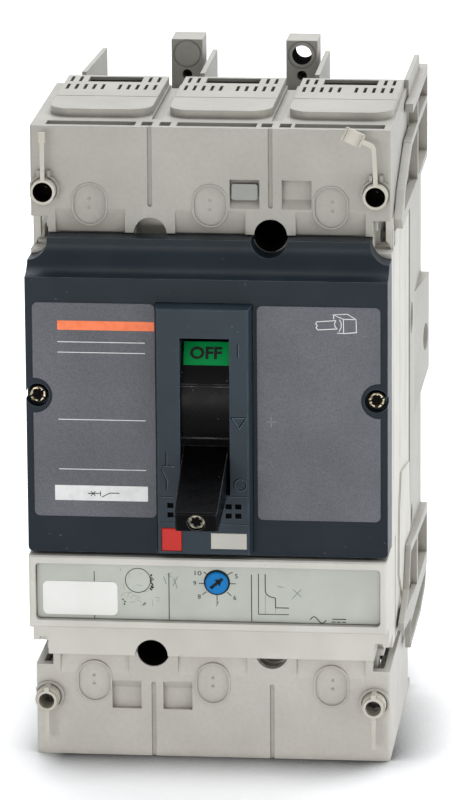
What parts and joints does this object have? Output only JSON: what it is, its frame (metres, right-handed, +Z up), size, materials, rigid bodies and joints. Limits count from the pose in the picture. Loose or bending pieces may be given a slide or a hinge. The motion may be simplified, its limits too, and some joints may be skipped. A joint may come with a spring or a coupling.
{
  "type": "moulded-case circuit breaker",
  "caption": "Three-pole moulded-case circuit breaker with toggle, adjustable trip unit, terminal shields and a rear plug-in base.",
  "frame": {"origin": "centre of the back mounting face, level with the breaker's mid-height", "axes": "+X to the right as seen from the front, -Y towards the front with the toggle, +Z up"},
  "size_m": [0.1108, 0.1568, 0.1947],
  "materials": {
    "case_plastic": "fine grained",
    "shield_plastic": "satin",
    "seal_plastic": "satin",
    "cover_plastic": "satin gloss",
    "label_plastic": "grained",
    "tile_plastic": "matt",
    "panel_plastic": "matt",
    "sticker": "matt",
    "steel": "zinc plated",
    "dark_screw": "dark plated",
    "terminal_metal": "tin plated",
    "black_plastic": "satin gloss",
    "green_plastic": "matt",
    "blue_plastic": "satin gloss",
    "red_plastic": "satin gloss"
  },
  "bodies": {
    "breaker": {"case": "case_plastic", "front_cover": "cover_plastic", "escutcheon": "cover_plastic", "left_label": "label_plastic", "right_label": "label_plastic", "badge": "tile_plastic", "trip_unit": "case_plastic", "trip_panel": "panel_plastic", "rating_sticker": "sticker", "pivot_pin": "steel", "left_cover_screw": "dark_screw", "right_cover_screw": "dark_screw", "upper_shield": "shield_plastic", "lower_shield": "shield_plastic", "left_seal_screw": "dark_screw", "right_seal_screw": "dark_screw", "window_tile": "tile_plastic", "upper_left_terminal": "terminal_metal", "upper_centre_terminal": "terminal_metal", "upper_right_terminal": "terminal_metal", "lower_left_terminal": "terminal_metal", "lower_centre_terminal": "terminal_metal", "lower_right_terminal": "terminal_metal", "base": "shield_plastic", "left_rail": "shield_plastic", "right_rail": "shield_plastic", "left_fin": "shield_plastic", "centre_fin": "shield_plastic", "right_fin": "shield_plastic", "upper_left_seal": "seal_plastic", "upper_right_seal": "seal_plastic", "lower_left_seal": "seal_plastic", "lower_right_seal": "seal_plastic", "upper_left_bar": "terminal_metal", "upper_centre_bar": "terminal_metal", "upper_right_bar": "terminal_metal", "lower_left_bar": "terminal_metal", "lower_centre_bar": "terminal_metal", "lower_right_bar": "terminal_metal"},
    "toggle": {"toggle": "black_plastic", "shutter": "black_plastic", "off_flag": "green_plastic", "toggle_screw": "steel"},
    "dial": {"dial": "blue_plastic"},
    "trip_button": {"trip_button": "red_plastic"}
  },
  "joints": [
    {"name": "toggle_turn", "type": "hinge", "parent": "breaker", "child": "toggle", "pos_m": [0, -0.086, 0.013], "axis": [-1, 0, 0], "range_deg": [0, 38.8]},
    {"name": "dial_turn", "type": "hinge", "parent": "breaker", "child": "dial", "pos_m": [0.0026, -0.1269, -0.038], "axis": [0, -1, 0], "range_deg": [-60, 180]},
    {"name": "trip_push", "type": "slide", "parent": "breaker", "child": "trip_button", "axis": [0, 1, 0], "range_m": [0, 0.002], "stiffness_N_per_m": 500}
  ]
}
